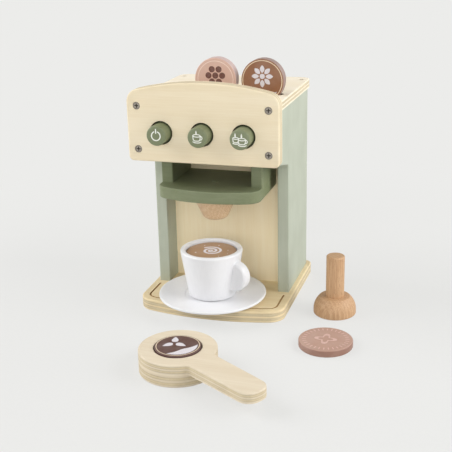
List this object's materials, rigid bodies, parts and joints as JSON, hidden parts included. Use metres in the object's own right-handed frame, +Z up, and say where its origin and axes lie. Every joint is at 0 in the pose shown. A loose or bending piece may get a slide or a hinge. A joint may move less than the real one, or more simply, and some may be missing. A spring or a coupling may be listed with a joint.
{
  "type": "toy coffee maker",
  "caption": "Toy coffee maker of plywood boards with push buttons, a spout over a cup and saucer, a portafilter, a tamper, and round tokens that stand in slots in its top.",
  "frame": {"origin": "middle of the base plate's underside", "axes": "+X to the right as seen from the front, +Y to the back, +Z up"},
  "size_m": [0.2372, 0.339, 0.2637],
  "materials": {
    "natural_ply": "plain sanded birch plywood with its layers showing at the edges",
    "pale_green_paint": "matt pale grey-green paint",
    "green_paint": "matt sage green paint",
    "beech": "plain sanded beech",
    "white_paint": "satin white paint",
    "coffee_paint": "matt brown paint with a pale printed pattern",
    "pink_paint": "matt pale pink paint with a dark printed pattern",
    "dark_paint": "matt dark brown paint with a pale printed pattern",
    "cocoa_paint": "matt light brown paint with a pale printed pattern",
    "steel": "plain steel screws",
    "spring_wire": "plain spring wire"
  },
  "bodies": {
    "machine": {"base_plate": "natural_ply", "left_side_panel": "pale_green_paint", "right_side_panel": "pale_green_paint", "partition_panel": "natural_ply", "top_panel": "natural_ply", "fascia_panel": "natural_ply", "button_board": "natural_ply", "cradle_left_wall": "green_paint", "cradle_right_wall": "green_paint", "cradle_shelf": "green_paint", "spout_cone": "beech", "spout_screw": "steel", "fascia_screws": "steel", "top_screws": "steel", "base_screws": "steel", "cradle_screws": "steel", "cradle_dowels": "beech", "spring_power": "spring_wire", "spring_one_cup": "spring_wire", "spring_two_cups": "spring_wire"},
    "power_button": {"button_power": "green_paint"},
    "one_cup_button": {"button_one_cup": "green_paint"},
    "two_cups_button": {"button_two_cups": "green_paint"},
    "saucer": {"saucer": "white_paint"},
    "cup": {"cup_body": "white_paint", "cup_handle": "white_paint"},
    "cup_disc": {"cup_coffee_disc": "coffee_paint"},
    "chocolate_token": {"token_chocolate": "pink_paint"},
    "latte_token": {"token_latte": "coffee_paint"},
    "portafilter": {"portafilter_board": "natural_ply", "portafilter_disc": "natural_ply"},
    "espresso_token": {"token_espresso": "dark_paint"},
    "tamper": {"tamper_base": "beech", "tamper_handle": "beech"},
    "loose_disc": {"loose_coffee_disc": "cocoa_paint"}
  },
  "joints": [
    {"name": "power_press", "type": "slide", "parent": "machine", "child": "power_button", "axis": [0, 1, 0], "range_m": [0, 0.007], "stiffness_N_per_m": 200, "springref_m": -0.002, "deforming": ["spring_power"]},
    {"name": "one_cup_press", "type": "slide", "parent": "machine", "child": "one_cup_button", "axis": [0, 1, 0], "range_m": [0, 0.007], "stiffness_N_per_m": 200, "springref_m": -0.002, "deforming": ["spring_one_cup"]},
    {"name": "two_cups_press", "type": "slide", "parent": "machine", "child": "two_cups_button", "axis": [0, 1, 0], "range_m": [0, 0.007], "stiffness_N_per_m": 200, "springref_m": -0.002, "deforming": ["spring_two_cups"]},
    {"name": "saucer_slide", "type": "slide", "parent": "machine", "child": "saucer", "axis": [0, -1, 0], "range_m": [0, 0.035]},
    {"name": "cup_lift", "type": "slide", "parent": "saucer", "child": "cup", "axis": [0, 0, 1], "range_m": [0, 0.015]},
    {"name": "cup_disc_lift", "type": "slide", "parent": "cup", "child": "cup_disc", "axis": [0, 0, 1], "range_m": [0, 0.012]},
    {"name": "chocolate_token_lift", "type": "slide", "parent": "machine", "child": "chocolate_token", "axis": [0, 0, 1], "range_m": [0, 0.025]},
    {"name": "latte_token_lift", "type": "slide", "parent": "machine", "child": "latte_token", "axis": [0, 0, 1], "range_m": [0, 0.025]},
    {"name": "portafilter_lift", "type": "slide", "parent": "machine", "child": "portafilter", "axis": [0, 0, 1], "range_m": [0, 0.04]},
    {"name": "espresso_token_lift", "type": "slide", "parent": "portafilter", "child": "espresso_token", "axis": [0, 0, 1], "range_m": [0, 0.02]},
    {"name": "tamper_lift", "type": "slide", "parent": "machine", "child": "tamper", "axis": [0, 0, 1], "range_m": [0, 0.04]},
    {"name": "loose_disc_lift", "type": "slide", "parent": "machine", "child": "loose_disc", "axis": [0, 0, 1], "range_m": [0, 0.02]}
  ]
}
